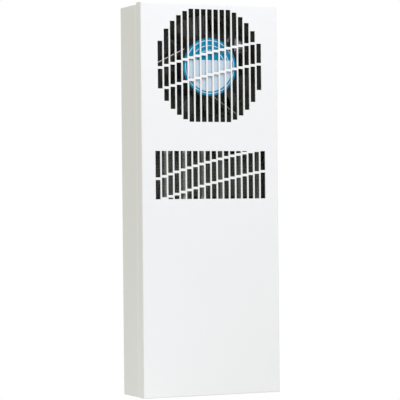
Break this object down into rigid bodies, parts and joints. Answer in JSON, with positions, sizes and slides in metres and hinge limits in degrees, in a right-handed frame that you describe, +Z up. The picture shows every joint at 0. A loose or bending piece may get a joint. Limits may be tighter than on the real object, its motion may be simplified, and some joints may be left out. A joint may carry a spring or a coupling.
{
  "type": "enclosure heat exchanger",
  "caption": "Tall shallow wall-mounted air-to-air heat exchanger for a cabinet: white sheet-metal case, slotted fan grille at the top, slotted coil outlet below it and a plain lower front.",
  "frame": {"origin": "centre of the rear mounting plane, midway between the four corner mounting threads", "axes": "+X to the viewer's right seen from the front, +Y from the front to the rear, +Z up"},
  "size_m": [0.21, 0.084, 0.55],
  "materials": {
    "powder_coat": "fine powder coat",
    "zinc_sheet": "galvanised",
    "foam": "matte",
    "core_metal": "mill",
    "fan_frame": "black enamel",
    "fan_impeller": "satin",
    "shaft_steel": "ground",
    "lamination": "varnished",
    "copper_winding": "enamelled",
    "hub_label": "gloss",
    "zinc_screw": "zinc plated",
    "black_screw": "black oxide",
    "block_plastic": "moulded",
    "earth_brass": "bright",
    "lead_jacket": "matte"
  },
  "bodies": {
    "case": {"ambient_fan_bearings": "shaft_steel", "ambient_fan_housing": "fan_frame", "ambient_fan_label": "hub_label", "ambient_fan_lead": "lead_jacket", "ambient_fan_plate": "zinc_sheet", "ambient_fan_screws": "black_screw", "ambient_fan_stator": "lamination", "ambient_fan_windings": "copper_winding", "ambient_fins": "core_metal", "chassis_shell": "powder_coat", "core_bottom_plate": "zinc_sheet", "core_side_plates": "zinc_sheet", "core_top_plate": "zinc_sheet", "cover_gasket": "foam", "cover_hooks": "zinc_sheet", "cover_screws": "zinc_screw", "divider_plate": "zinc_sheet", "earth_nut": "earth_brass", "earth_stud": "earth_brass", "enclosure_fan_bearings": "shaft_steel", "enclosure_fan_housing": "fan_frame", "enclosure_fan_lead": "lead_jacket", "enclosure_fan_plate": "zinc_sheet", "enclosure_fan_screws": "black_screw", "enclosure_fan_stator": "lamination", "enclosure_fan_windings": "copper_winding", "enclosure_fins": "core_metal", "front_cover": "powder_coat", "heat_pipes": "core_metal", "inlet_bushing": "block_plastic", "inlet_locknut": "block_plastic", "lead_grommets": "foam", "mounting_inserts": "zinc_screw", "rear_gasket": "foam", "rear_panel": "zinc_sheet", "terminal_block": "block_plastic", "terminal_block_screws": "zinc_screw", "terminal_screws": "zinc_screw"},
    "ambient_rotor": {"ambient_fan_rotor": "fan_impeller", "ambient_fan_shaft": "shaft_steel"},
    "enclosure_rotor": {"enclosure_fan_rotor": "fan_impeller", "enclosure_fan_shaft": "shaft_steel"}
  },
  "joints": [
    {"name": "ambient_fan_spin", "type": "hinge", "parent": "case", "child": "ambient_rotor", "pos_m": [0, -0.0763, 0.1884], "axis": [0, 1, 0], "continuous": true},
    {"name": "enclosure_fan_spin", "type": "hinge", "parent": "case", "child": "enclosure_rotor", "pos_m": [0, -0.006, -0.177], "axis": [0, 1, 0], "continuous": true}
  ]
}
